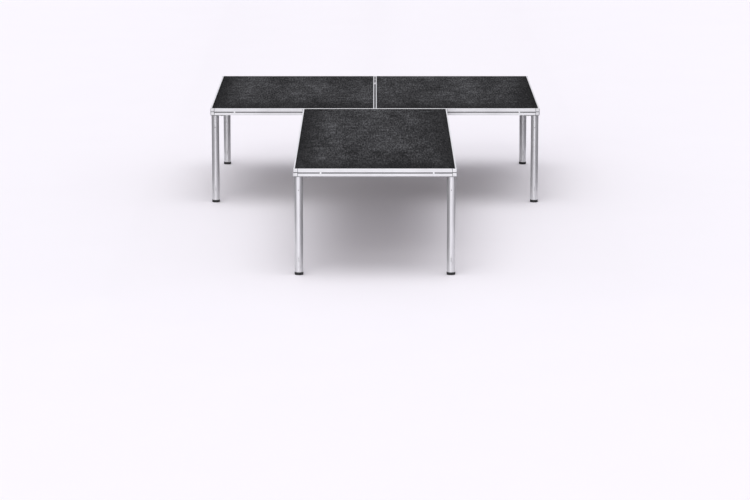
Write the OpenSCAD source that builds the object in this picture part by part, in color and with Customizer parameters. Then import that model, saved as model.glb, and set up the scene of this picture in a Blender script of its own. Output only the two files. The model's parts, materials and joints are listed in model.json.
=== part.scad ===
// Modular T-shaped stage riser: two decks side by side at the back and one centred deck in front.
// Every deck is a slotted aluminium edge frame with cast corners, cross joists, a plywood panel
// and a flush anti-slip surface. Six round legs slide up over spigots that are bolted under the
// outer corners. Plates bolted under the rails tie the three decks together along their seams, and
// those between the back decks close the gap below.
// +Z is up, +Y runs from the front deck to the back row, and the origin is on the floor
// under the middle of the stage.

/* [Stage] */
// Overall width of the back row (8 ft)
stage_w = 2438; // [2200:1:3000]
// Overall depth from the front edge to the back edge (15 ft)
stage_d = 4572; // [4000:1:5200]
// Depth of the two back decks (6 ft)
back_d = 1829; // [1500:1:2000]
// Width of the front deck (3 ft 6 in)
front_w = 1067; // [1000:1:1300]
// Height of the walking surface above the floor
deck_top = 706; // [450:1:1000]
// Gap between the corner castings of neighbouring decks
seam = 1; // [0.5:0.5:4]

/* [Edge frame] */
// Height of the edge frame
frame_h = 50; // [48:1:60]
// Depth of a rail from its outer face to its inner face
rail_w = 27; // [26:1:32]
// Width of the lip around the walking surface
lip_w = 9; // [8:0.5:10]
// Wall thickness of the rail extrusion
wall = 2.5; // [2:0.1:2.5]
// Radius of the rail's outer edges
edge_r = 1.5; // [0.5:0.1:2]
// How far the corner castings stand proud of the rails
proud = 3; // [2.8:0.1:4]
// Radius of a casting's upright outer edge
corner_r = 9; // [8:0.5:12]
// Radius that rounds each lobe of a casting
lobe_r = 4; // [2:0.5:4]
// Height of the waist between the two lobes
waist_h = 3; // [1:0.5:3]

/* [Clamp slot] */
// Height of the slot's mouth
slot_mouth = 7; // [6.4:0.1:8]
// Height of the channel behind the mouth
slot_channel = 14; // [13.6:0.1:15]
// Distance from the outer face to the back of the channel
slot_depth = 9; // [8:0.5:9]
// Distance of the slot's centre line below the walking surface
slot_drop = 27.5; // [27:0.5:29]
// Distance of a slot clamp from the deck's corner
clamp_inset = 166; // [120:1:220]
// Sideways offset that both clamps of a face share
clamp_shift = 14; // [0:1:20]

/* [Walking surface] */
// Thickness of the plywood panel
panel_t = 18; // [15:1:18]
// Thickness of the anti-slip surface
surface_t = 2; // [1:0.5:3]
// Gap around the panel
panel_gap = 0.5; // [0.3:0.1:1]
// Size of a square joist tube
joist_w = 25; // [20:1:28]
// Largest distance between joists
joist_pitch = 460; // [300:10:600]
// Largest distance between panel screws
screw_pitch = 430; // [250:10:600]

/* [Leg] */
// Outer diameter of a leg
leg_od = 55; // [50:1:60]
// Wall thickness of a leg tube
leg_wall = 3; // [2.5:0.1:4]
// Distance of the leg's axis from both outer faces
leg_inset = 36; // [34:1:44]
// Length of the spigot that the leg slides over
spigot_len = 130; // [110:5:160]
// Distance of the lock screw below the frame
lock_drop = 92; // [80:1:100]
// Height of the lower brace pin hole above the floor
brace_low_z = 95; // [60:1:100]
// Height of the upper brace pin hole above the floor
brace_high_z = 110; // [110:1:160]
// Diameter of a brace pin hole
brace_d = 7; // [5:0.5:8]
// Outer diameter of the rubber foot
foot_od = 58; // [58:1:66]
// Height of the rubber foot
foot_h = 19; // [15:1:25]

/* [Joining plates] */
// Thickness of a leg bracket's plate
bracket_t = 4; // [3:0.5:5]
// Length of a bracket's arm along the rail
arm_len = 115; // [112:1:130]
// Thickness of a seam plate
seam_plate_t = 5; // [4:0.5:6]
// Width of a seam plate across the seam
seam_plate_w = 80; // [70:1:90]

/* [Hidden] */
$fn = 48;

// Decks, by number
LEFT = 0;
RIGHT = 1;
FRONT = 2;

// Leg stations: deck, then which end of it across (0 left, 1 right) and in depth (0 front, 1 rear)
REAR_LEFT = [LEFT, 0, 1];
REAR_RIGHT = [RIGHT, 1, 1];
MID_LEFT = [LEFT, 0, 0];
MID_RIGHT = [RIGHT, 1, 0];
FRONT_LEFT = [FRONT, 0, 0];
FRONT_RIGHT = [FRONT, 1, 0];
STATIONS = [REAR_LEFT, REAR_RIGHT, MID_LEFT, MID_RIGHT, FRONT_LEFT, FRONT_RIGHT];

front_d = stage_d - back_d - seam;
back_w = (stage_w - seam) / 2;
frame_z = deck_top - frame_h;
back_y = stage_d / 2 - back_d;

// Size and front left corner of each deck, measured over its castings
DECK_SIZE = [[back_w, back_d], [back_w, back_d], [front_w, front_d]];
DECK_AT = [[-stage_w / 2, back_y], [seam / 2, back_y], [-front_w / 2, -stage_d / 2]];

corner_w = proud + rail_w;
ledge_z = frame_h - panel_t - surface_t;
slot_z = frame_h - slot_drop;
slot_lip = 3;
inner_edge = proud + lip_w;
cavity_y = slot_depth + wall;
cavity_w = rail_w - slot_depth - 2 * wall;
bolt_line = proud + cavity_y + cavity_w / 2;
waist_inset = 2.5;
waist_r = 0.5;
tongue_len = 45;
tongue_play = 0.2;
end_screw_at = 25;
end_screw_z = ledge_z / 2;
bolt_spots = [85, 103];
screw_first = 160;

m6_r = 3;
m6_head_r = 5;
m6_head_h = 3;
bolt_head_h = 4;
hole_play = 0.3;
nut_r = 5.5;
nut_h = 5.5;
bolt_reach = 12;
wood_screw_r = 2.5;
wood_screw_len = 28;
countersink_h = 3;

leg_r = leg_od / 2;
bore_r = leg_r - leg_wall;
spigot_r = bore_r - 0.05;
spigot_wall = 4;
spigot_lead = 6;
leg_slack = 0.3;
bracket_rim = 4;
foot_floor = 9;
foot_edge_r = 4;
plug_h = 36;
lock_z = frame_z - lock_drop;
lock_hole_r = 3;
lock_head_r = 4;
lock_head_h = 2.6;
lock_gap = 0.35;
lock_hex_r = 2.2;
lock_hex_depth = 1.5;

clamp_head_r = 6;
clamp_nut_t = 4;
clamp_hex_r = 2.3;
clamp_hex_depth = 1.3;
clamp_play = 0.3;

front_bolt_spread = 220;
plate_margin = 30;
plate_clear = 130;
plate_gap = 2;
back_plate_count = 3;
back_plate_pitch = (back_d - 2 * plate_clear + plate_gap) / back_plate_count;
back_bolt_spread = back_plate_pitch - plate_gap - 2 * plate_margin;
back_seam_spots = [for (i = [0:back_plate_count - 1])
    plate_clear - plate_gap / 2 + (i + 0.5) * back_plate_pitch];
front_seam_x = front_w / 2 - plate_clear - plate_margin - front_bolt_spread / 2;

function spread(first, last, pitch) =
    let (steps = ceil((last - first) / pitch))
    [for (i = [0:steps]) first + i * (last - first) / steps];

function leg_at(station) =
    let (size = DECK_SIZE[station[0]], at = DECK_AT[station[0]])
    [at[0] + (station[1] == 0 ? leg_inset : size[0] - leg_inset),
     at[1] + (station[2] == 0 ? leg_inset : size[1] - leg_inset)];

// ---- placing ----

module on_deck(deck) {
    translate([DECK_AT[deck][0], DECK_AT[deck][1], frame_z]) children();
}

// Turns a shape drawn at the front left corner into the same shape at another corner
module at_corner(deck, across, deep) {
    size = DECK_SIZE[deck];
    translate([across * size[0], deep * size[1], 0])
        mirror([across, 0, 0])
            mirror([0, deep, 0])
                children();
}

// Turns a shape that runs along X into one that runs along Y
module swapped() {
    mirror([1, -1, 0]) children();
}

// Places a rail drawn for the front side on one of the four sides
module on_side(deck, side) {
    size = DECK_SIZE[deck];
    if (side == "front") children();
    if (side == "rear") translate([0, size[1], 0]) mirror([0, 1, 0]) children();
    if (side == "left") swapped() children();
    if (side == "right") translate([size[0], 0, 0]) mirror([1, 0, 0]) swapped() children();
}

// ---- edge rails ----

module rail_section() {
    channel_top = slot_z + slot_channel / 2;
    channel_base = slot_z - slot_channel / 2;
    difference() {
        union() {
            translate([edge_r, 0]) square([lip_w - edge_r, frame_h]);
            translate([0, edge_r]) square([lip_w, frame_h - 2 * edge_r]);
            for (z = [edge_r, frame_h - edge_r]) translate([edge_r, z]) circle(edge_r);
            translate([lip_w - 1, 0]) square([rail_w - lip_w + 1, ledge_z]);
        }
        translate([-1, slot_z - slot_mouth / 2]) square([slot_lip + 2, slot_mouth]);
        translate([slot_lip, channel_base]) square([slot_depth - slot_lip, slot_channel]);
        translate([cavity_y, wall]) square([cavity_w, ledge_z - 2 * wall]);
        translate([wall, wall]) square([slot_depth - wall, channel_base - 2 * wall]);
        translate([wall, channel_top + wall])
            square([lip_w - 2 * wall, frame_h - channel_top - 2 * wall]);
    }
}

// Rail drawn for the front side of a deck; plate_spots are seam bolt places along it
module rail(deck, side, plate_spots = []) {
    size = DECK_SIZE[deck];
    run = side == "front" || side == "rear" ? size[0] : size[1];
    color("silver") on_deck(deck) on_side(deck, side) difference() {
        translate([corner_w, proud, 0])
            rotate([90, 0, 90])
                linear_extrude(run - 2 * corner_w) rail_section();
        for (x = concat(bolt_spots, [for (s = bolt_spots) run - s], plate_spots))
            translate([x, bolt_line, -1]) cylinder(h = wall + 2, r = m6_r + hole_play);
        for (x = spread(screw_first, run - screw_first, screw_pitch))
            translate([x, bolt_line, ledge_z - wall - 1]) cylinder(h = wall + 2, r = wood_screw_r + 0.1);
        for (x = [corner_w + end_screw_at, run - corner_w - end_screw_at])
            translate([x, corner_w + 1, end_screw_z])
                rotate([90, 0, 0]) cylinder(h = wall + 2, r = m6_r + hole_play);
    }
}

// ---- corner castings ----

module lobe_profile(reach, height, round_r) {
    square([reach - round_r, height]);
    translate([0, round_r]) square([reach, height - 2 * round_r]);
    for (z = [round_r, height - round_r]) translate([reach - round_r, z]) circle(round_r);
}

// Slab with a round upright outer edge, whose outer faces stand back by inset. A quarter turn of
// the edge profile, a straight run of it on both sides, and a square core meet face to face.
module corner_slab(inset, height, round_r) {
    reach = corner_r - inset;
    run = corner_w - corner_r;
    translate([corner_r, corner_r, 0]) {
        rotate([0, 0, 180]) rotate_extrude(angle = 90) lobe_profile(reach, height, round_r);
        cube([run, run, height]);
        for (turn = [0, 1])
            mirror([turn, -turn, 0])
                rotate([90, 0, 90])
                    linear_extrude(run) mirror([1, 0]) lobe_profile(reach, height, round_r);
    }
}

module casting() {
    lobe_h = (frame_h - waist_h) / 2;
    tongue_y = proud + cavity_y + tongue_play;
    tongue_w = cavity_w - 2 * tongue_play;
    tongue_z = wall + tongue_play;
    difference() {
        union() {
            corner_slab(0, lobe_h, lobe_r);
            translate([0, 0, frame_h - lobe_h]) corner_slab(0, lobe_h, lobe_r);
            translate([0, 0, lobe_h - lobe_r]) corner_slab(waist_inset, waist_h + 2 * lobe_r, waist_r);
            for (turn = [0, 1])
                mirror([turn, -turn, 0])
                    translate([corner_w - 1, tongue_y, tongue_z])
                        cube([tongue_len + 1, tongue_w, ledge_z - 2 * tongue_z]);
        }
        translate([inner_edge, inner_edge, ledge_z]) cube(frame_h);
        for (turn = [0, 1])
            mirror([turn, -turn, 0])
                translate([corner_w + end_screw_at, corner_w, end_screw_z])
                    rotate([90, 0, 0]) cylinder(h = rail_w, r = m6_r + 0.1);
    }
}

module corners(deck) {
    color("gainsboro") on_deck(deck)
        for (across = [0, 1], deep = [0, 1])
            at_corner(deck, across, deep) casting();
}

// ---- joists, panel and walking surface ----

module joists(deck) {
    size = DECK_SIZE[deck];
    count = ceil(size[1] / joist_pitch);
    color("lightgray") on_deck(deck)
        for (i = [1:count - 1])
            translate([corner_w, i * size[1] / count - joist_w / 2, ledge_z - joist_w])
                difference() {
                    cube([size[0] - 2 * corner_w, joist_w, joist_w]);
                    translate([-1, 2, 2]) cube([size[0], joist_w - 4, joist_w - 4]);
                }
}

// Flat board that fills the frame inside the lip
module board(deck, height) {
    size = DECK_SIZE[deck];
    margin = inner_edge + panel_gap;
    translate([margin, margin, 0])
        cube([size[0] - 2 * margin, size[1] - 2 * margin, height]);
}

// Repeats a child at every panel screw of a deck
module at_panel_screws(deck) {
    size = DECK_SIZE[deck];
    for (x = spread(screw_first, size[0] - screw_first, screw_pitch), y = [bolt_line, size[1] - bolt_line])
        translate([x, y, 0]) children();
    for (y = spread(screw_first, size[1] - screw_first, screw_pitch), x = [bolt_line, size[0] - bolt_line])
        translate([x, y, 0]) children();
}

module countersunk(shank_r, length) {
    translate([0, 0, -length]) cylinder(h = length, r = shank_r);
    translate([0, 0, -countersink_h]) cylinder(h = countersink_h, r1 = shank_r, r2 = 2 * shank_r);
}

module panel(deck) {
    color("burlywood") on_deck(deck) difference() {
        translate([0, 0, ledge_z]) board(deck, panel_t);
        at_panel_screws(deck)
            translate([0, 0, ledge_z + panel_t + 0.01]) countersunk(wood_screw_r + 0.1, panel_t + 1);
    }
}

module surface_sheet(deck) {
    color([0.13, 0.13, 0.14]) on_deck(deck)
        translate([0, 0, ledge_z + panel_t]) board(deck, surface_t);
}

// ---- deck screws ----

module end_screw() {
    translate([corner_w + end_screw_at, corner_w, end_screw_z]) {
        rotate([90, 0, 0]) cylinder(h = cavity_w, r = m6_r);
        rotate([-90, 0, 0]) cylinder(h = m6_head_h, r = m6_head_r);
    }
}

module deck_screws(deck) {
    color("dimgray") on_deck(deck) {
        at_panel_screws(deck)
            translate([0, 0, ledge_z + panel_t]) countersunk(wood_screw_r, wood_screw_len);
        for (across = [0, 1], deep = [0, 1], turn = [0, 1])
            at_corner(deck, across, deep) mirror([turn, -turn, 0]) end_screw();
    }
}

// ---- bolts and plates under the rails ----

// Bolt with its head under a plate of the given thickness, and the rivet nut inside the rail
module plate_bolt(plate_t) {
    translate([0, 0, -plate_t - bolt_head_h]) cylinder(h = bolt_head_h, r = m6_head_r);
    translate([0, 0, -plate_t]) cylinder(h = plate_t + bolt_reach, r = m6_r);
    translate([0, 0, wall]) difference() {
        cylinder(h = nut_h, r = nut_r);
        translate([0, 0, -1]) cylinder(h = nut_h + 2, r = m6_r + 0.05);
    }
}

// Repeats a child at both places of a seam bolt pair, mirrored over the seam
module seam_pattern(length) {
    for (side = [-1, 1], end = [-1, 1])
        translate([side * (bolt_line + seam / 2), end * length / 2, 0]) children();
}

module seam_plate(bolt_length) {
    plate_l = bolt_length + 2 * plate_margin;
    difference() {
        translate([-seam_plate_w / 2, -plate_l / 2, -seam_plate_t])
            cube([seam_plate_w, plate_l, seam_plate_t]);
        seam_pattern(bolt_length)
            translate([0, 0, -seam_plate_t - 1]) cylinder(h = seam_plate_t + 2, r = m6_r + hole_play);
    }
}

module along_back_seam() {
    for (y = back_seam_spots) translate([0, back_y + y, frame_z]) children();
}

module along_front_seam() {
    for (x = [-front_seam_x, front_seam_x])
        translate([x, back_y - seam / 2, frame_z]) rotate([0, 0, 90]) children();
}

module back_seam_plates() {
    color("gray") along_back_seam() seam_plate(back_bolt_spread);
}

module front_seam_plates() {
    color("gray") along_front_seam() seam_plate(front_bolt_spread);
}

module seam_bolts() {
    color("dimgray") {
        along_back_seam() seam_pattern(back_bolt_spread) plate_bolt(seam_plate_t);
        along_front_seam() seam_pattern(front_bolt_spread) plate_bolt(seam_plate_t);
    }
}

// ---- leg brackets ----

module at_bracket_bolts() {
    for (spot = bolt_spots, turn = [0, 1])
        mirror([turn, -turn, 0]) translate([spot, bolt_line, 0]) children();
}

module bracket(station) {
    near = proud + 1;
    far = leg_inset + leg_r + bracket_rim;
    plate_r = corner_r - 1;
    color("dimgray") on_deck(station[0]) at_corner(station[0], station[1], station[2]) difference() {
        union() {
            translate([near + plate_r, near + plate_r, -bracket_t]) cylinder(h = bracket_t, r = plate_r);
            for (turn = [0, 1])
                mirror([turn, -turn, 0]) {
                    translate([near + plate_r, near, -bracket_t])
                        cube([arm_len - near - plate_r, corner_w - near, bracket_t]);
                    translate([near + plate_r, near, -bracket_t])
                        cube([far - near - plate_r, far - near, bracket_t]);
                }
            translate([leg_inset, leg_inset, -bracket_t - spigot_len]) {
                cylinder(h = spigot_lead, r1 = spigot_r - 3, r2 = spigot_r);
                translate([0, 0, spigot_lead]) cylinder(h = spigot_len - spigot_lead + 1, r = spigot_r);
            }
        }
        translate([leg_inset, leg_inset, -bracket_t - spigot_len - 1])
            cylinder(h = spigot_len + bracket_t + 2, r = spigot_r - spigot_wall);
        at_bracket_bolts()
            translate([0, 0, -bracket_t - 1]) cylinder(h = bracket_t + 2, r = m6_r + hole_play);
    }
}

module bracket_bolts() {
    color("dimgray")
        for (s = STATIONS)
            on_deck(s[0]) at_corner(s[0], s[1], s[2]) at_bracket_bolts() plate_bolt(bracket_t);
}

// ---- legs ----

module at_leg(station) {
    translate([leg_at(station)[0], leg_at(station)[1], 0]) children();
}

module leg(station) {
    top = frame_z - bracket_t - leg_slack;
    color("silver") at_leg(station) difference() {
        translate([0, 0, foot_floor]) cylinder(h = top - foot_floor, r = leg_r);
        translate([0, 0, foot_floor - 1]) cylinder(h = top, r = bore_r);
        translate([0, 0, lock_z]) rotate([90, 0, 0]) cylinder(h = leg_od, r = lock_hole_r);
        for (z = [brace_low_z, brace_high_z])
            translate([0, leg_od, z]) rotate([90, 0, 0]) cylinder(h = 2 * leg_od, r = brace_d / 2);
    }
}

module foot(station) {
    color([0.08, 0.08, 0.08]) at_leg(station) rotate_extrude() difference() {
        union() {
            square([foot_od / 2 - foot_edge_r, foot_h]);
            translate([0, foot_edge_r]) square([foot_od / 2, foot_h - foot_edge_r]);
            translate([foot_od / 2 - foot_edge_r, foot_edge_r]) intersection() {
                circle(foot_edge_r);
                translate([-foot_edge_r + 0.5, -foot_edge_r]) square([2 * foot_edge_r, 2 * foot_edge_r]);
            }
            square([bore_r - 0.1, foot_floor + plug_h]);
        }
        translate([bore_r - 0.1, foot_floor]) square([leg_wall + 0.2, foot_h]);
    }
}

module lock_screw(station) {
    tip = spigot_r + lock_gap;
    color([0.2, 0.2, 0.2]) at_leg(station) translate([0, 0, lock_z]) rotate([90, 0, 0]) difference() {
        union() {
            translate([0, 0, tip]) cylinder(h = leg_r + 1 - tip, r = lock_hole_r - 0.05);
            translate([0, 0, leg_r + 0.3]) cylinder(h = lock_head_h, r = lock_head_r);
        }
        translate([0, 0, leg_r + 0.3 + lock_head_h - lock_hex_depth])
            cylinder(h = lock_hex_depth + 1, r = lock_hex_r, $fn = 6);
    }
}

// ---- slot clamps ----

// Quarter-turn clamp: round head, shank through the slot's mouth, and a nut across the channel
module slot_clamp(deck, from_right) {
    x = from_right ? DECK_SIZE[deck][0] - clamp_inset : clamp_inset;
    nut_long = slot_channel - 2;
    nut_short = slot_mouth - 1;
    color("whitesmoke") on_deck(deck)
        translate([x + clamp_shift, proud, slot_z]) rotate([90, 0, 0]) difference() {
            union() {
                translate([0, 0, clamp_play]) cylinder(h = proud - 0.8, r = clamp_head_r);
                translate([0, 0, -slot_lip - 1]) cylinder(h = slot_lip + 2, r = nut_short / 2);
                translate([-nut_short / 2, -nut_long / 2, -slot_lip - clamp_play - clamp_nut_t])
                    cube([nut_short, nut_long, clamp_nut_t]);
            }
            translate([0, 0, proud - 0.5 - clamp_hex_depth])
                cylinder(h = clamp_hex_depth + 1, r = clamp_hex_r, $fn = 6);
        }
}

// Where the seam plates' bolts meet each rail
back_seam_holes = [for (y = back_seam_spots, e = [-1, 1]) y + e * back_bolt_spread / 2];
front_seam_holes = [for (x = [-front_seam_x, front_seam_x], e = [-1, 1]) x + e * front_bolt_spread / 2];
front_rail_holes_left = [for (x = front_seam_holes) if (x < 0) x - DECK_AT[LEFT][0]];
front_rail_holes_right = [for (x = front_seam_holes) if (x > 0) x - DECK_AT[RIGHT][0]];
front_deck_rear_holes = [for (x = front_seam_holes) x - DECK_AT[FRONT][0]];

rail(LEFT, "front", front_rail_holes_left);  // left_deck_front_rail
rail(LEFT, "rear");  // left_deck_rear_rail
rail(LEFT, "left");  // left_deck_outer_rail
rail(LEFT, "right", back_seam_holes);  // left_deck_inner_rail
rail(RIGHT, "front", front_rail_holes_right);  // right_deck_front_rail
rail(RIGHT, "rear");  // right_deck_rear_rail
rail(RIGHT, "right");  // right_deck_outer_rail
rail(RIGHT, "left", back_seam_holes);  // right_deck_inner_rail
rail(FRONT, "front");  // front_deck_front_rail
rail(FRONT, "rear", front_deck_rear_holes);  // front_deck_rear_rail
rail(FRONT, "left");  // front_deck_left_rail
rail(FRONT, "right");  // front_deck_right_rail
corners(LEFT);  // left_deck_corners
corners(RIGHT);  // right_deck_corners
corners(FRONT);  // front_deck_corners
joists(LEFT);  // left_deck_joists
joists(RIGHT);  // right_deck_joists
joists(FRONT);  // front_deck_joists
panel(LEFT);  // left_deck_panel
panel(RIGHT);  // right_deck_panel
panel(FRONT);  // front_deck_panel
surface_sheet(LEFT);  // left_deck_surface
surface_sheet(RIGHT);  // right_deck_surface
surface_sheet(FRONT);  // front_deck_surface
deck_screws(LEFT);  // left_deck_screws
deck_screws(RIGHT);  // right_deck_screws
deck_screws(FRONT);  // front_deck_screws
back_seam_plates();
front_seam_plates();
seam_bolts();
bracket_bolts();
bracket(REAR_LEFT);  // rear_left_bracket
bracket(REAR_RIGHT);  // rear_right_bracket
bracket(MID_LEFT);  // mid_left_bracket
bracket(MID_RIGHT);  // mid_right_bracket
bracket(FRONT_LEFT);  // front_left_bracket
bracket(FRONT_RIGHT);  // front_right_bracket
leg(REAR_LEFT);  // rear_left_leg
leg(REAR_RIGHT);  // rear_right_leg
leg(MID_LEFT);  // mid_left_leg
leg(MID_RIGHT);  // mid_right_leg
leg(FRONT_LEFT);  // front_left_leg
leg(FRONT_RIGHT);  // front_right_leg
foot(REAR_LEFT);  // rear_left_foot
foot(REAR_RIGHT);  // rear_right_foot
foot(MID_LEFT);  // mid_left_foot
foot(MID_RIGHT);  // mid_right_foot
foot(FRONT_LEFT);  // front_left_foot
foot(FRONT_RIGHT);  // front_right_foot
lock_screw(REAR_LEFT);  // rear_left_lock_screw
lock_screw(REAR_RIGHT);  // rear_right_lock_screw
lock_screw(MID_LEFT);  // mid_left_lock_screw
lock_screw(MID_RIGHT);  // mid_right_lock_screw
lock_screw(FRONT_LEFT);  // front_left_lock_screw
lock_screw(FRONT_RIGHT);  // front_right_lock_screw
slot_clamp(LEFT, false);  // left_deck_slot_clamp
slot_clamp(RIGHT, true);  // right_deck_slot_clamp
slot_clamp(FRONT, false);  // front_deck_left_slot_clamp
slot_clamp(FRONT, true);  // front_deck_right_slot_clamp
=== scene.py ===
# %% [markdown]
# # A T-shaped stage riser
#
# The stage is made of three decks. Two stand side by side at the back, and one stands in front of
# them, so that the walking surface is a T. The metalwork comes ready made and exact from the packed
# CAD model. This script gives every part its finish, builds the grainy walking surfaces and the
# moulded rubber feet, and sets up a plain studio around them.

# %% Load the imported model
import json
import math

import bpy
import numpy as np
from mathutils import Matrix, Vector


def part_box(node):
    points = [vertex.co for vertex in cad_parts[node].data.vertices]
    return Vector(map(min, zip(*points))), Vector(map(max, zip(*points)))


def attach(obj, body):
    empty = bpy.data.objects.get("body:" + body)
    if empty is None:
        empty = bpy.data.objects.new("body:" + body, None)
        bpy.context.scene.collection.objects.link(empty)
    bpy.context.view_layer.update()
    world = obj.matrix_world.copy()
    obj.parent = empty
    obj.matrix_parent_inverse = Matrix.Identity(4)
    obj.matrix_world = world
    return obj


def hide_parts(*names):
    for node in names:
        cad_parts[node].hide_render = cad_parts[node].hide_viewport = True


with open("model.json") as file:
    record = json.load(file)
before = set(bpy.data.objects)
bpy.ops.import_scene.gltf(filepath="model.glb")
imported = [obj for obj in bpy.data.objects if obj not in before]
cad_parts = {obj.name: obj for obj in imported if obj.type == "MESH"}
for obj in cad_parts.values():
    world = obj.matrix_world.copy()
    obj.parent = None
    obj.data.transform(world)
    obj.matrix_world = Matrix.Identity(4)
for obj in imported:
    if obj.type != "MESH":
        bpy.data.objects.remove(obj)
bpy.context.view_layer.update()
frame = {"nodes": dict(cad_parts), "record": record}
DECKS = ["left_deck", "right_deck", "front_deck"]
CORNERS = ["rear_left", "rear_right", "mid_left", "mid_right", "front_left", "front_right"]

# %% [markdown]
# ## Camera
#
# The stage is seen from straight ahead, from far away and a little above the deck. A long lens keeps
# the upright legs upright, so the camera needs no shift. It stands on a line that rises from the
# middle of the back row's front edge, and tips down a little more than that line does, so that the
# stage sits in the upper half of the picture.

# %% Place the camera
CAMERA_DISTANCE = 22.2
CAMERA_ELEVATION = math.radians(8.2)
CAMERA_TIP = math.radians(10.9)
LENS = 144

row_edge = Vector((0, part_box("left_deck_front_rail")[0].y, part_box("left_deck_surface")[1].z))
camera_data = bpy.data.cameras.new("studio_camera")
camera_data.lens = LENS
camera_data.clip_end = 400
camera = bpy.data.objects.new("studio_camera", camera_data)
bpy.context.scene.collection.objects.link(camera)
camera.location = row_edge + CAMERA_DISTANCE * Vector(
    (0, -math.cos(CAMERA_ELEVATION), math.sin(CAMERA_ELEVATION)))
camera.rotation_euler = (math.pi / 2 - CAMERA_TIP, 0, 0)
bpy.context.scene.camera = camera
print("camera at", [round(v, 2) for v in camera.location])

# %% [markdown]
# ## Studio
#
# The set is pale all over, with a floor that melts into its background, so the light has to be as
# even far away as it is near the stage. Only lamps at infinity do that. Two very soft suns and a
# pale sky light the set: one sun from almost straight overhead makes the shadow under the decks, and
# one from the front brightens the middle of each round leg and lets its flanks fall off. The sky is
# dim, so that the metal that mirrors it stays grey. Where the camera would see the sky directly, a
# plain backdrop in the floor's own tone stands in for it.

# %% Light the studio
scene = bpy.context.scene
scene.view_settings.view_transform = "Standard"


def soft_sun(name, strength, toward, softness):
    """Adds a sun that shines along the direction toward and looks as many degrees wide as softness."""
    data = bpy.data.lights.new(name, "SUN")
    data.energy = strength
    data.angle = math.radians(softness)
    light = bpy.data.objects.new(name, data)
    scene.collection.objects.link(light)
    light.rotation_euler = Vector(toward).to_track_quat("-Z", "Y").to_euler()


world = bpy.data.worlds.new("studio_sky")
world.use_nodes = True
sky = world.node_tree.nodes["Background"]
sky.inputs["Color"].default_value = (0.95, 0.94, 1.0, 1)
sky.inputs["Strength"].default_value = 0.66
backdrop = world.node_tree.nodes.new("ShaderNodeBackground")
backdrop.inputs["Color"].default_value = (0.955, 0.93, 0.985, 1)
either = world.node_tree.nodes.new("ShaderNodeMixShader")
ray = world.node_tree.nodes.new("ShaderNodeLightPath")
sky_links = world.node_tree.links
sky_links.new(ray.outputs["Is Camera Ray"], either.inputs["Fac"])
sky_links.new(sky.outputs["Background"], either.inputs[1])
sky_links.new(backdrop.outputs["Background"], either.inputs[2])
sky_links.new(either.outputs["Shader"], world.node_tree.nodes["World Output"].inputs["Surface"])
scene.world = world
soft_sun("overhead_sun", 1.02, (0, 0.12, -1), 66)
soft_sun("front_sun", 1.3, (0.22, 1, -0.36), 45)

# %% [markdown]
# Dark cards, called flags, stand on both sides of the stage, so that the flanks of its round legs
# turn dark and their shape reads. A lower one under the decks does the same for the inner flanks of
# the legs. The flags are seen only in shiny reflections: they throw no shadow and don't show in the
# picture.

# %% Flags at the sides
FLAG_X = 1.75
FLAG_Y = (-2.9, 16.0)
FLAG_FOOT = 0.001
FLAG_TOP = 2.6
UNDER_DECK = 0.62
CLOTH = (0.10, 0.10, 0.105)


def flag(name, x, top):
    """A dark upright card that runs along the depth of the stage and that only shiny surfaces see."""
    near, far = FLAG_Y
    corners = [(x, near, FLAG_FOOT), (x, far, FLAG_FOOT), (x, far, top), (x, near, top)]
    mesh = bpy.data.meshes.new(name)
    mesh.from_pydata(corners, [], [(0, 1, 2, 3)])
    card = bpy.data.objects.new(name, mesh)
    scene.collection.objects.link(card)
    for sight in ("visible_camera", "visible_diffuse", "visible_shadow", "visible_transmission"):
        setattr(card, sight, False)
    cloth = bpy.data.materials.new(name + "_cloth")
    cloth.use_nodes = True
    shader = cloth.node_tree.nodes["Principled BSDF"]
    shader.inputs["Base Color"].default_value = (*CLOTH, 1)
    shader.inputs["Roughness"].default_value = 1.0
    mesh.materials.append(cloth)
    return card


flags = [flag("left_flag", -FLAG_X, FLAG_TOP), flag("right_flag", FLAG_X, FLAG_TOP),
         flag("middle_flag", 0, UNDER_DECK)]
print("flags:", [o.name for o in flags])

# %% [markdown]
# ## Material helpers
#
# Every finish starts from one Principled shader. The patterns read Object coordinates, which are
# metres in the stage's own frame, so a scale of 100 means features of about a centimetre. Values
# that are the same all over a surface go straight onto the shader. Only what varies is linked.

# %% Helpers that build a finish


def finish(name, colour, metallic, roughness):
    """Makes a material with one Principled shader and returns it as a dict of handy parts."""
    material = bpy.data.materials.new(name)
    material.use_nodes = True
    tree = material.node_tree
    shader = tree.nodes["Principled BSDF"]
    shader.inputs["Base Color"].default_value = (*colour, 1)
    shader.inputs["Metallic"].default_value = metallic
    shader.inputs["Roughness"].default_value = roughness
    place = tree.nodes.new("ShaderNodeTexCoord")
    return {"material": material, "tree": tree, "shader": shader, "place": place}


def placed(made, texture, stretch):
    """Feeds a texture with Object coordinates, stretched by three factors along X, Y and Z."""
    mapping = made["tree"].nodes.new("ShaderNodeMapping")
    mapping.inputs["Scale"].default_value = stretch
    made["tree"].links.new(made["place"].outputs["Object"], mapping.inputs["Vector"])
    made["tree"].links.new(mapping.outputs["Vector"], texture.inputs["Vector"])
    return texture


def grain(made, scale, detail=4.0, stretch=(1, 1, 1), rough=0.55):
    """Soft random pattern: smooth noise with smaller copies of itself laid over it."""
    noise = made["tree"].nodes.new("ShaderNodeTexNoise")
    noise.inputs["Scale"].default_value = scale
    noise.inputs["Detail"].default_value = detail
    noise.inputs["Roughness"].default_value = rough
    return placed(made, noise, stretch).outputs["Fac"]


def cells(made, scale, stretch=(1, 1, 1)):
    """Cell pattern: each point's distance from the nearest of many scattered seeds."""
    voronoi = made["tree"].nodes.new("ShaderNodeTexVoronoi")
    voronoi.inputs["Scale"].default_value = scale
    return placed(made, voronoi, stretch).outputs["Distance"]


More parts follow.
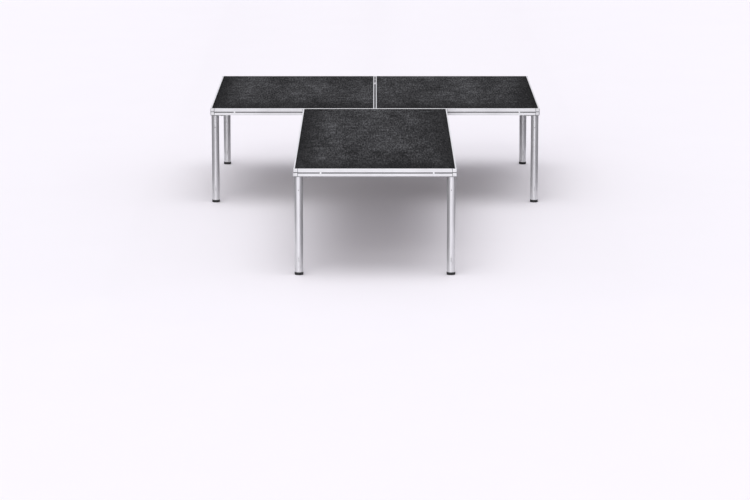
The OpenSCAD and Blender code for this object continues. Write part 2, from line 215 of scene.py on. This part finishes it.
def band(made, value, low, high, out_low=0.0, out_high=1.0):
    """Maps the range low to high of a value onto out_low to out_high, clamped at both ends."""
    node = made["tree"].nodes.new("ShaderNodeMapRange")
    made["tree"].links.new(value, node.inputs["Value"])
    for key, number in zip(("From Min", "From Max", "To Min", "To Max"), (low, high, out_low, out_high)):
        node.inputs[key].default_value = number
    return node.outputs["Result"]


def calc(made, operation, first, second=0.0):
    """One step of arithmetic on two values, each a socket or a plain number."""
    node = made["tree"].nodes.new("ShaderNodeMath")
    node.operation = operation
    for socket, value in zip(node.inputs, (first, second)):
        if isinstance(value, (int, float)):
            socket.default_value = value
        else:
            made["tree"].links.new(value, socket)
    return node.outputs["Value"]


def blend_colours(made, amount, first, second):
    """Colour between first at 0 and second at 1; each is a colour or a socket."""
    node = made["tree"].nodes.new("ShaderNodeMix")
    node.data_type = "RGBA"
    made["tree"].links.new(amount, node.inputs["Factor"])
    for key, colour in (("A", first), ("B", second)):
        socket = [s for s in node.inputs if s.name == key and s.type == "RGBA"][0]
        if isinstance(colour, tuple):
            socket.default_value = (*colour, 1)
        else:
            made["tree"].links.new(colour, socket)
    return [s for s in node.outputs if s.type == "RGBA"][0]


def relief(made, height, depth, strength):
    """Bump of the given depth in metres."""
    node = made["tree"].nodes.new("ShaderNodeBump")
    node.inputs["Strength"].default_value = strength
    node.inputs["Distance"].default_value = depth
    made["tree"].links.new(height, node.inputs["Height"])
    return node.outputs["Normal"]


def wire(made, **sockets):
    """Links each value to the shader input of that name; an underscore stands for a space."""
    for name, value in sockets.items():
        made["tree"].links.new(value, made["shader"].inputs[name.replace("_", " ")])


print("helpers ready")

# %% [markdown]
# ## Drawn and anodised aluminium
#
# Rails and legs are extruded through a die and then anodised. The die leaves very fine lines along
# the length, and the anodising turns the shine soft and slightly uneven. The lines are noise that is
# stretched along the part, so rails along X, rails along Y and upright legs each need their own
# direction.

# %% Aluminium along one direction
DIE_LINE_STRETCH = 0.006


def drawn_aluminium(name, along, colour, roughness, dull=0.06, metallic=0.75):
    """Anodised extrusion whose die lines run along the axis 0, 1 or 2."""
    made = finish(name, colour, metallic, roughness)
    lines_stretch = [1.0, 1.0, 1.0]
    lines_stretch[along] = DIE_LINE_STRETCH
    lines = grain(made, 900, 3.0, lines_stretch)
    clouds = grain(made, 5.0, 5.0)
    tone = calc(made, "ADD", calc(made, "MULTIPLY", lines, 0.35), calc(made, "MULTIPLY", clouds, 0.65))
    darker = tuple(c * 0.86 for c in colour)
    wire(made, Base_Color=blend_colours(made, band(made, tone, 0.35, 0.65), darker, colour),
         Roughness=band(made, tone, 0.3, 0.7, roughness + dull, roughness - dull),
         Normal=relief(made, lines, 0.00004, 0.6))
    return made


joist_metal = drawn_aluminium("mill_finish_joist", 0, (0.60, 0.60, 0.61), 0.45)["material"]
print("joist finish:", joist_metal.name)

# %% [markdown]
# ## Edge rails and corner castings
#
# Painted shade darkens the colour where light falls off: inside the clamp slot, in the waist between a
# casting's two lobes, and in and beside the seam between neighbouring decks. A dark line also runs along
# each joint between a rail and a casting. Each of these places is a plain distance from a known plane, so
# every rail gets its own finish with its own planes. The flat top gets a painted highlight, a brighter
# colour that also stands for the polish from feet, so it is the brightest part. The castings are die cast
# and tumbled. They have a fine orange-peel skin instead of lines.

# %% Rail and casting finishes
SILVER = (0.685, 0.685, 0.70)
# Brighter colour of flat tops: a painted highlight that also stands for polish from feet.
TOP_HIGHLIGHT_AND_POLISH = (0.90, 0.90, 0.915)
# Matt dark tone for painted shade in hollows and for the dark joint lines.
DARK_SHADE_AND_JOINT_TONE = (0.04, 0.04, 0.043)
SLOT_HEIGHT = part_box("left_deck_slot_clamp")[0].z / 2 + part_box("left_deck_slot_clamp")[1].z / 2
SLOT_HALF = 0.0071
WAIST_HALF = 0.0016
RAIL_JOINT_HALF = 0.0016
CAST_JOINT_HALF = 0.0010
JOINT_DARKNESS = 0.8
# Width of the painted shade strip beside the back seam.
SEAM_SHADE_WIDTH = 0.0038
BACK_SEAM_RAILS = ["left_deck_inner_rail", "right_deck_inner_rail"]
SEAM_RAILS = [*BACK_SEAM_RAILS, "front_deck_rear_rail"]


def axes_of(made):
    """The three Object coordinates as separate values."""
    node = made["tree"].nodes.new("ShaderNodeSeparateXYZ")
    made["tree"].links.new(made["place"].outputs["Object"], node.inputs["Vector"])
    return [node.outputs[name] for name in "XYZ"]


def away_from(made, value, plane):
    """Distance of a coordinate from a plane."""
    return calc(made, "ABSOLUTE", calc(made, "SUBTRACT", value, plane))


def stripe(made, value, low, high, half_width):
    """1 close to either of two parallel planes and 0 elsewhere."""
    off = away_from(made, away_from(made, value, (low + high) / 2), (high - low) / 2)
    return band(made, off, half_width, half_width + 0.0006, 1.0, 0.0)


def paint_top_highlight_and_polish(made, height, top):
    """Paints the flat top brighter: a painted highlight that also stands for the polish from feet."""
    flat = band(made, height, top - 0.0007, top - 0.0002)
    coat = made["shader"].inputs["Base Color"].links[0].from_socket
    wire(made, Base_Color=blend_colours(made, flat, coat, TOP_HIGHLIGHT_AND_POLISH))


def paint_shade_and_joint_lines(made, shade):
    """Paints a matt dark tone where shade is 1: painted shade, and the dark joint lines."""
    shader = made["shader"]
    unmarked_colour = shader.inputs["Base Color"].links[0].from_socket
    metallic = shader.inputs["Metallic"].default_value
    wire(made, Base_Color=blend_colours(made, shade, unmarked_colour, DARK_SHADE_AND_JOINT_TONE),
         Metallic=band(made, shade, 0, 1, metallic, 0.0),
         Specular_IOR_Level=band(made, shade, 0, 1, 0.5, 0.1))
    return made["material"]


def rail_finish(node):
    """Anodised rail: painted shade in the slot and at a seam's face and edge, dark lines at its end joints.
    """
    low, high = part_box(node)
    deck_low, deck_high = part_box(node[:node.index("deck") + 4] + "_corners")
    along = 0 if high.x - low.x > high.y - low.y else 1
    across = 1 - along
    made = drawn_aluminium("anodised_" + node, along, SILVER, 0.42, metallic=0.35)
    axes = axes_of(made)
    # Painted highlight: the flat top gets a brighter colour.
    paint_top_highlight_and_polish(made, axes[2], high.z)
    at_low_side = low[across] - deck_low[across] < deck_high[across] - high[across]
    depth = away_from(made, axes[across], low[across] if at_low_side else high[across])
    # Painted shade: the inside of the clamp slot is darkened.
    in_slot = band(made, away_from(made, axes[2], SLOT_HEIGHT), SLOT_HALF, SLOT_HALF + 0.0005, 1.0, 0.0)
    shade = calc(made, "MULTIPLY", band(made, depth, 0.0004, 0.0012), in_slot)
    joint = stripe(made, axes[along], low[along], high[along], RAIL_JOINT_HALF)
    shade = calc(made, "MAXIMUM", shade, calc(made, "MULTIPLY", joint, JOINT_DARKNESS))
    # Painted shade: at a seam, the outer face just below the lip is darkened, as the gap lies in shade.
    if node in SEAM_RAILS:
        below_lip = band(made, axes[2], high.z - 0.0025, high.z - 0.0008, 1.0, 0.0)
        on_face = band(made, depth, 0.0008, 0.002, 1.0, 0.0)
        shade = calc(made, "MAXIMUM", shade, calc(made, "MULTIPLY", below_lip, on_face))
    # Painted shade: a dark strip on the lip and face beside the back seam stands in for the shaded gap.
    if node in BACK_SEAM_RAILS:
        beside_seam = band(made, depth, SEAM_SHADE_WIDTH, SEAM_SHADE_WIDTH + 0.0008, 0.9, 0.0)
        shade = calc(made, "MAXIMUM", shade, beside_seam)
    return paint_shade_and_joint_lines(made, shade)


def casting_finish(deck):
    """Tumbled castings of one deck: painted shade in the waist, dark lines at their joints with the rails.
    """
    made = finish("casting_" + deck, SILVER, 0.35, 0.44)
    low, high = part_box(deck + "_corners")
    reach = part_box(deck + "_front_rail")[0].x - low.x
    clouds = grain(made, 30, 4.0)
    darker = tuple(c * 0.88 for c in SILVER)
    wire(made, Base_Color=blend_colours(made, band(made, clouds, 0.35, 0.7), darker, SILVER),
         Roughness=band(made, clouds, 0.3, 0.7, 0.52, 0.38),
         Normal=relief(made, grain(made, 420, 3.0), 0.00012, 0.5))
    axes = axes_of(made)
    # Painted highlight: the flat top gets a brighter colour.
    paint_top_highlight_and_polish(made, axes[2], high.z)
    # Painted shade in the waist between the casting's two lobes.
    from_waist = away_from(made, axes[2], (low.z + high.z) / 2)
    waist = band(made, from_waist, WAIST_HALF, WAIST_HALF + 0.0005, 1.0, 0.0)
    joint_x = stripe(made, axes[0], low.x + reach, high.x - reach, CAST_JOINT_HALF)
    joint_y = stripe(made, axes[1], low.y + reach, high.y - reach, CAST_JOINT_HALF)
    joints = calc(made, "MULTIPLY", calc(made, "MAXIMUM", joint_x, joint_y), JOINT_DARKNESS)
    return paint_shade_and_joint_lines(made, calc(made, "MAXIMUM", joints, waist))


cast_metal = {deck: casting_finish(deck) for deck in DECKS}
print("slot height in metres:", round(SLOT_HEIGHT, 4), "casting finishes:", len(cast_metal))

# %% [markdown]
# The leg tubes get the same finish along Z, and near the floor a veil of dust and scuffs from boots
# and from being stacked. A map on the height fades it out upwards.

# %% Leg tube finish


def leg_finish():
    """Anodised tube with scuffs that fade out about a quarter of a metre above the floor."""
    made = drawn_aluminium("anodised_leg", 2, (0.72, 0.72, 0.735), 0.34, metallic=0.7)
    low_down = band(made, axes_of(made)[2], 0.02, 0.26, 1.0, 0.0)
    scuffs = band(made, grain(made, 60, 6.0, (1, 1, 0.35), 0.7), 0.52, 0.66)
    amount = calc(made, "MULTIPLY", calc(made, "MULTIPLY", low_down, scuffs), 0.55)
    unmarked_colour = made["shader"].inputs["Base Color"].links[0].from_socket
    wire(made, Base_Color=blend_colours(made, amount, unmarked_colour, (0.42, 0.41, 0.40)))
    return made["material"]


leg_metal = leg_finish()
print("leg finish:", leg_metal.name)

# %% [markdown]
# ## Steel fittings
#
# Brackets, plates and bolts are zinc plated. Zinc crystals show as faint patches of different tone,
# which a cell pattern gives. The leg brackets are powder coated dark grey, so that they don't catch
# the eye under the frame.

# %% Zinc plate and powder coat


def zinc_finish(name, colour, patch_scale):
    """Zinc plating with crystal patches and a slightly uneven shine."""
    made = finish(name, colour, 1.0, 0.4)
    patches = cells(made, patch_scale)
    fine = grain(made, patch_scale * 6, 3.0)
    tone = calc(made, "ADD", calc(made, "MULTIPLY", patches, 0.5), calc(made, "MULTIPLY", fine, 0.5))
    darker = tuple(c * 0.74 for c in colour)
    wire(made, Base_Color=blend_colours(made, band(made, tone, 0.2, 0.7), darker, colour),
         Roughness=band(made, tone, 0.2, 0.8, 0.32, 0.52),
         Normal=relief(made, fine, 0.00008, 0.4))
    return made


def powder_coat_finish():
    """Dark grey powder coat with its fine ripple and a few thin spots."""
    made = finish("powder_coat", (0.16, 0.16, 0.165), 0.0, 0.5)
    worn = band(made, grain(made, 90, 5.0), 0.58, 0.78)
    wire(made, Base_Color=blend_colours(made, worn, (0.15, 0.15, 0.155), (0.30, 0.30, 0.31)),
         Roughness=band(made, worn, 0, 1, 0.55, 0.4),
         Normal=relief(made, grain(made, 700, 2.0), 0.00015, 0.5))
    return made["material"]


plate_metal = zinc_finish("zinc_plate", (0.56, 0.56, 0.565), 90)["material"]
bracket_metal = powder_coat_finish()
screw_metal = zinc_finish("zinc_screw", (0.60, 0.60, 0.61), 400)["material"]
clamp_metal = zinc_finish("turned_clamp", (0.78, 0.78, 0.79), 500)["material"]
lock_metal = zinc_finish("dull_lock_screw", (0.42, 0.42, 0.43), 450)["material"]
print("steel finishes:", plate_metal.name, bracket_metal.name, screw_metal.name, lock_metal.name)

# %% [markdown]
# ## Plywood
#
# From below, the decks show film-faced plywood: a grey-brown film through which the veneer's rings
# just show. The rings are long stretched noise bands, with fine dark pores along the same direction.

# %% Film-faced plywood


def plywood_finish():
    """Grey-brown film over long rings and short pores that run along Y."""
    made = finish("film_faced_plywood", (0.155, 0.135, 0.119), 0.0, 0.62)
    rings = grain(made, 14, 5.0, (1, 0.07, 1), 0.6)
    pores = band(made, grain(made, 420, 2.0, (1, 0.03, 1)), 0.56, 0.7)
    film = blend_colours(made, band(made, rings, 0.35, 0.65), (0.13, 0.112, 0.098), (0.18, 0.158, 0.14))
    wire(made, Base_Color=blend_colours(made, calc(made, "MULTIPLY", pores, 0.5), film, (0.05, 0.04, 0.034)),
         Roughness=band(made, rings, 0.3, 0.7, 0.7, 0.52),
         Normal=relief(made, pores, 0.0002, 0.5))
    return made["material"]


plywood = plywood_finish()
print("panel finish:", plywood.name)

# %% [markdown]
# ## Rubber
#
# Moulded rubber is almost black, matt, and picks up pale floor dust in its hollows.

# %% Foot rubber


def rubber_finish():
    """Matt black rubber with a little dust and a leathery skin."""
    made = finish("moulded_rubber", (0.012, 0.012, 0.013), 0.0, 0.7)
    dust = band(made, grain(made, 130, 6.0, (1, 1, 1), 0.7), 0.55, 0.75)
    wire(made, Base_Color=blend_colours(made, calc(made, "MULTIPLY", dust, 0.35), (0.011, 0.011, 0.012),
                                        (0.12, 0.115, 0.11)),
         Roughness=band(made, dust, 0, 1, 0.62, 0.9),
         Normal=relief(made, grain(made, 900, 2.0), 0.00015, 0.4))
    return made["material"]


rubber = rubber_finish()
print("foot finish:", rubber.name)

# %% [markdown]
# ## Anti-slip surface
#
# The walking surface is a black coat full of hard grains. It looks mottled: deep black along the
# edges, greyer where people walk, with many small pale flecks where a grain has lost its coat. The
# mesh carries a wear value for each point, and the finish mixes it with three sizes of pattern. The
# streaks lie along the depth of the stage, the way the coat was rolled on.

# %% Anti-slip coat
BLACK = (0.004, 0.004, 0.0045)
WORN = (0.112, 0.113, 0.118)
FLECK = (0.30, 0.30, 0.31)


def anti_slip_finish():
    """Mottled black coat that reads the wear attribute of the sheet it is on."""
    made = finish("anti_slip_coat", BLACK, 0.0, 0.8)
    made["shader"].inputs["Specular IOR Level"].default_value = 0.12
    worn = made["tree"].nodes.new("ShaderNodeAttribute")
    worn.attribute_name = "wear"
    patches = band(made, grain(made, 5.0, 5.0, (1, 0.2, 1), 0.62), 0.36, 0.66)
    streaks = band(made, grain(made, 42, 5.0, (1, 0.16, 1), 0.7), 0.34, 0.68)
    specks = band(made, grain(made, 105, 2.0, (1, 0.14, 1)), 0.38, 0.64)
    small_marks = calc(made, "ADD", calc(made, "MULTIPLY", streaks, 0.24),
                       calc(made, "MULTIPLY", specks, 0.52))
    mottle = calc(made, "ADD", calc(made, "MULTIPLY", patches, 0.30), small_marks)
    amount = calc(made, "MULTIPLY", calc(made, "POWER", mottle, 1.7), worn.outputs["Fac"])
    coat = blend_colours(made, amount, BLACK, WORN)
    bare = band(made, cells(made, 70, (1, 0.25, 1)), 0.0, 0.22, 1.0, 0.0)
    chance = band(made, grain(made, 30, 2.0, (1, 0.5, 1)), 0.5, 0.66)
    flecks = calc(made, "MULTIPLY", calc(made, "MULTIPLY", bare, chance), 0.8)
    grains = cells(made, 330)
    wire(made, Base_Color=blend_colours(made, flecks, coat, FLECK),
         Roughness=band(made, mottle, 0.2, 0.8, 0.9, 0.7),
         Normal=relief(made, grains, 0.0006, 0.55))
    return made["material"]


anti_slip = anti_slip_finish()
print("surface finish:", anti_slip.name)

# %% [markdown]
# ## Give the CAD parts their finishes
#
# The imported record says which material slot each part uses, so one table from slot to finish is
# enough. Only rails and castings differ from one another, because their painted shade and dark joint
# lines follow their edges.

# %% Assign the finishes
FINISH_OF_SLOT = {
    "joist_aluminium": joist_metal, "leg_aluminium": leg_metal,
    "plywood": plywood, "anti_slip_surface": anti_slip, "steel_plate": plate_metal,
    "steel_bracket": bracket_metal, "zinc_screws": screw_metal, "foot_rubber": rubber,
    "lock_steel": lock_metal, "clamp_metal": clamp_metal,
}

for part in frame["record"]["subparts"]:
    node = part["node"]
    if part["material_slot"] == "rail_aluminium":
        chosen = rail_finish(node)
    elif part["material_slot"] == "cast_aluminium":
        chosen = cast_metal[node.replace("_corners", "")]
    else:
        chosen = FINISH_OF_SLOT[part["material_slot"]]
    for slot in frame["nodes"][node].material_slots:
        slot.material = chosen

# %% [markdown]
# ## Mesh from arrays
#
# New pieces are grids of points: two numbers run over the surface, and numpy works out all points
# at once. The faces of a grid always follow the same rule, so one helper serves every piece.

# %% Grid helpers


def grid_quads(rows, columns, around=False):
    """Quads that join each point of a grid to its neighbours; around also joins last column to first."""
    last = columns if around else columns - 1
    r, c = np.meshgrid(np.arange(rows - 1), np.arange(last), indexing="ij")
    right = (c + 1) % columns
    quads = [r * columns + c, r * columns + right, (r + 1) * columns + right, (r + 1) * columns + c]
    return np.stack([q.ravel() for q in quads], axis=1)


def make_piece(name, points, faces, finish_used, body):
    """Turns points and faces into a smooth piece that rides on a body of the stage."""
    mesh = bpy.data.meshes.new(name)
    mesh.from_pydata(points.tolist(), [], [list(f) for f in faces])
    mesh.polygons.foreach_set("use_smooth", np.ones(len(mesh.polygons), bool))
    mesh.materials.append(finish_used)
    mesh.update()
    piece = bpy.data.objects.new(name, mesh)
    scene.collection.objects.link(piece)
    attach(piece, body)
    return piece


print("grid of 3 by 3 points gives", len(grid_quads(3, 3)), "quads")

# %% [markdown]
# ## Walking surfaces
#
# Each deck's coat is a sheet with real grain: random heights that are smoothed a little, so that
# lumps of a centimetre stand up to a third of a millimetre proud. The rim rolls over with a small
# radius, goes down to the panel, and a single face closes the underside. Wear is a smooth step of
# the distance from the stage's sides and, more slowly, from each deck's front edge, where people
# seldom stand. It is broken up by larger random patches.

# %% Build the walking surfaces
CELL = 0.0062
ROLL = 0.0011
GRAIN_HEIGHT = 0.0004
BROAD_PASSES = 40
SIDE_FADE = 0.3
FRONT_FADE = 0.75
STAGE_EDGE = {deck: max(abs(v) for v in (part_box(deck + "_surface")[0].x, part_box(deck + "_surface")[1].x))
              for deck in DECKS}


def smoothed(field, passes):
    """Averages every value with its neighbours, a given number of times."""
    for _ in range(passes):
        field = (field * 2 + np.roll(field, 1, 0) + np.roll(field, -1, 0)
                 + np.roll(field, 1, 1) + np.roll(field, -1, 1)) / 6
    return (field - field.mean()) / field.std()


def walking_surface(deck, seed):
    """Sheet over one deck: a random grain that is cut off at the top, with a rolled rim and a flat base."""
    low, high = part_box(deck + "_surface")
    columns = int((high.x - low.x) / CELL)
    rows = int((high.y - low.y) / CELL)
    draw = np.random.default_rng(seed)
    fine = smoothed(draw.standard_normal((rows, columns)), 1)
    broad = smoothed(draw.standard_normal((rows, columns)), BROAD_PASSES)
    x = np.linspace(low.x + ROLL, high.x - ROLL, columns)
    y = np.linspace(low.y + ROLL, high.y - ROLL, rows)
    grid_x, grid_y = np.meshgrid(x, y)
    lumps = np.clip(0.62 * fine + 0.2 * broad, -2, 2) / 4
    top = np.stack([grid_x, grid_y, high.z - GRAIN_HEIGHT * (0.5 - lumps)], axis=2).reshape(-1, 3)

    edge = np.arange(rows * columns).reshape(rows, columns)
    loop = np.concatenate([edge[0, :-1], edge[:-1, -1], edge[-1, :0:-1], edge[:0:-1, 0]])
    rim = top[loop]
    middle = np.array([(low.x + high.x) / 2, (low.y + high.y) / 2])
    half = np.array([(high.x - low.x) / 2 - ROLL, (high.y - low.y) / 2 - ROLL])
    offset = rim[:, :2] - middle
    outward = np.sign(np.round(offset / half, 6) * (np.abs(offset) > half - 1e-6))
    rings = []
    for turn in (math.pi / 6, math.pi / 3, math.pi / 2):
        ring = rim.copy()
        ring[:, :2] += outward * ROLL * math.sin(turn)
        ring[:, 2] -= ROLL * (1 - math.cos(turn))
        rings.append(ring)
    base = rings[-1].copy()
    base[:, 2] = low.z
    rings.append(base)
    points = np.concatenate([top, *rings])

    count = len(loop)
    ids = np.concatenate([loop, rows * columns + np.arange(4 * count)]).reshape(5, count)
    walls = grid_quads(5, count, around=True)
    faces = list(grid_quads(rows, columns)) + list(ids.ravel()[walls][:, ::-1]) + [ids[-1][::-1]]
    piece = make_piece(deck + "_anti_slip_sheet", points, faces, anti_slip,
                       "stage_frame")
    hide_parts(deck + "_surface")

    from_side = (STAGE_EDGE[deck] - np.abs(points[:, 0])) / SIDE_FADE
    from_front = (points[:, 1] - low.y) / FRONT_FADE
    step = np.clip(np.minimum(from_side, from_front) + 0.2, 0, 1)
    patches = np.concatenate([broad.ravel(), np.zeros(4 * count)])
    wear = np.clip(step * step * (3 - 2 * step) * (0.78 + 0.17 * patches), 0.04, 1)
    piece.data.attributes.new("wear", "FLOAT", "POINT").data.foreach_set("value", wear.astype(np.float32))
    return piece


for number, deck in enumerate(DECKS):
    sheet = walking_surface(deck, 11 + number)
    print(sheet.name, "faces:", len(sheet.data.polygons))

# %% [markdown]
# ## Rubber feet
#
# A foot is a moulded cup under the tube, with a plug that fills the bore. It is round, so it is a
# profile carried round an axis. The profile has the soft bottom edge, two shallow grip grooves, the
# rounded lip around the tube and the plug, and below it a ring tread that meets the floor.

# %% Build the feet
SPOKES = 96
CUP_HEIGHT = 0.019
TUBE_WALL = 0.0031
TREAD_DEPTH = 0.0012
TREAD_RINGS = [0.0070, 0.0120, 0.0165]
TREAD_SLOPE = 0.0010
EDGE_ROUND = 0.0040
LIP_ROUND = 0.0008
GROOVE_HEIGHTS = [0.0085, 0.0125]
GROOVE_DEPTH = 0.0006
GROOVE_WIDTH = 0.0018
PLUG_CHAMFER = 0.0020


def arc(centre_r, centre_z, radius, start, end, steps=6):
    """Points of a circle's arc between two angles in degrees, as rows of radius and height."""
    angle = np.radians(np.linspace(start, end, steps))
    return np.stack([centre_r + radius * np.cos(angle), centre_z + radius * np.sin(angle)], axis=1)


def groove(radius, height):
    """Shallow groove in an upright wall, from below to above: half a sine wave deep."""
    across = np.linspace(0, 1, 7)
    return np.stack([radius - GROOVE_DEPTH * np.sin(math.pi * across),
                     height + GROOVE_WIDTH * (across - 0.5)], axis=1)


def revolve(profile, centre):
    """Carries a profile of radius and height round an upright axis, which its two ends lie on."""
    angle = np.linspace(0, 2 * math.pi, SPOKES, endpoint=False)
    ring = profile[1:-1]
    x = centre[0] + ring[:, :1] * np.cos(angle)
    y = centre[1] + ring[:, :1] * np.sin(angle)
    z = centre[2] + np.repeat(ring[:, 1:], SPOKES, axis=1)
    poles = [[centre[0], centre[1], centre[2] + profile[i, 1]] for i in (0, -1)]
    points = np.concatenate([np.stack([x, y, z], axis=2).reshape(-1, 3), poles])
    first, last = len(points) - 2, len(points) - 1
    step = np.arange(SPOKES)
    after = (step + 1) % SPOKES
    top_row = (len(ring) - 1) * SPOKES
    fans = [np.stack([np.full(SPOKES, first), after, step], axis=1),
            np.stack([np.full(SPOKES, last), top_row + step, top_row + after], axis=1)]
    return points, list(grid_quads(len(ring), SPOKES, around=True)) + list(fans[0]) + list(fans[1])


def foot(corner):
    """Moulded foot in the place of the plain one, on the same axis and with the same outer sizes."""
    low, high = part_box(corner + "_foot")
    tube_low, tube_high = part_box(corner + "_leg")
    outer = (high.x - low.x) / 2
    tube = (tube_high.x - tube_low.x) / 2
    wall_top = low.z + CUP_HEIGHT
    bore = tube - TUBE_WALL
    socket = tube + 0.0002
    inner, rib, ring = TREAD_RINGS
    profile = np.concatenate([
        [[0, TREAD_DEPTH], [inner, TREAD_DEPTH], [inner + TREAD_SLOPE, 0], [rib, 0],
         [rib + TREAD_SLOPE, TREAD_DEPTH], [ring, TREAD_DEPTH], [ring + TREAD_SLOPE, 0],
         [outer - EDGE_ROUND, 0]],
        arc(outer - EDGE_ROUND, EDGE_ROUND, EDGE_ROUND, -90, 0),
        *[groove(outer, height) for height in GROOVE_HEIGHTS],
        arc(outer - LIP_ROUND, wall_top - LIP_ROUND, LIP_ROUND, 0, 110, 5),
        [[socket, wall_top - 0.0006], [socket, tube_low.z], [bore, tube_low.z],
         [bore, high.z - PLUG_CHAMFER], [bore - PLUG_CHAMFER, high.z], [0, high.z]],
    ])
    middle = ((low.x + high.x) / 2, (low.y + high.y) / 2, 0)
    points, faces = revolve(profile, middle)
    piece = make_piece(corner + "_moulded_foot", points, faces, rubber, corner + "_leg")
    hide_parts(corner + "_foot")
    return piece


for corner in CORNERS:
    made_foot = foot(corner)
print("feet:", len(CORNERS), "faces each:", len(made_foot.data.polygons))

# %% [markdown]
# ## Studio floor
#
# The floor is a plain pale sheet, wide enough that its edge is never seen. A very faint cloudiness
# keeps it from looking like empty paper.

# %% Floor
FLOOR_HALF = 150
FLOOR_DIM = (0.915, 0.888, 0.922)
FLOOR_PALE = (0.93, 0.903, 0.937)


def floor_finish():
    """Pale matt floor with a barely visible cloudiness."""
    made = finish("studio_floor", FLOOR_PALE, 0.0, 0.75)
    clouds = grain(made, 1.6, 4.0)
    wire(made, Base_Color=blend_colours(made, clouds, FLOOR_DIM, FLOOR_PALE))
    return made["material"]


floor_mesh = bpy.data.meshes.new("studio_floor")
floor_corners = [(x * FLOOR_HALF, y * FLOOR_HALF, 0) for x, y in ((-1, -1), (1, -1), (1, 1), (-1, 1))]
floor_mesh.from_pydata(floor_corners, [], [(0, 1, 2, 3)])
floor_mesh.materials.append(floor_finish())
floor = bpy.data.objects.new("studio_floor", floor_mesh)
scene.collection.objects.link(floor)
print("floor half width in metres:", FLOOR_HALF)
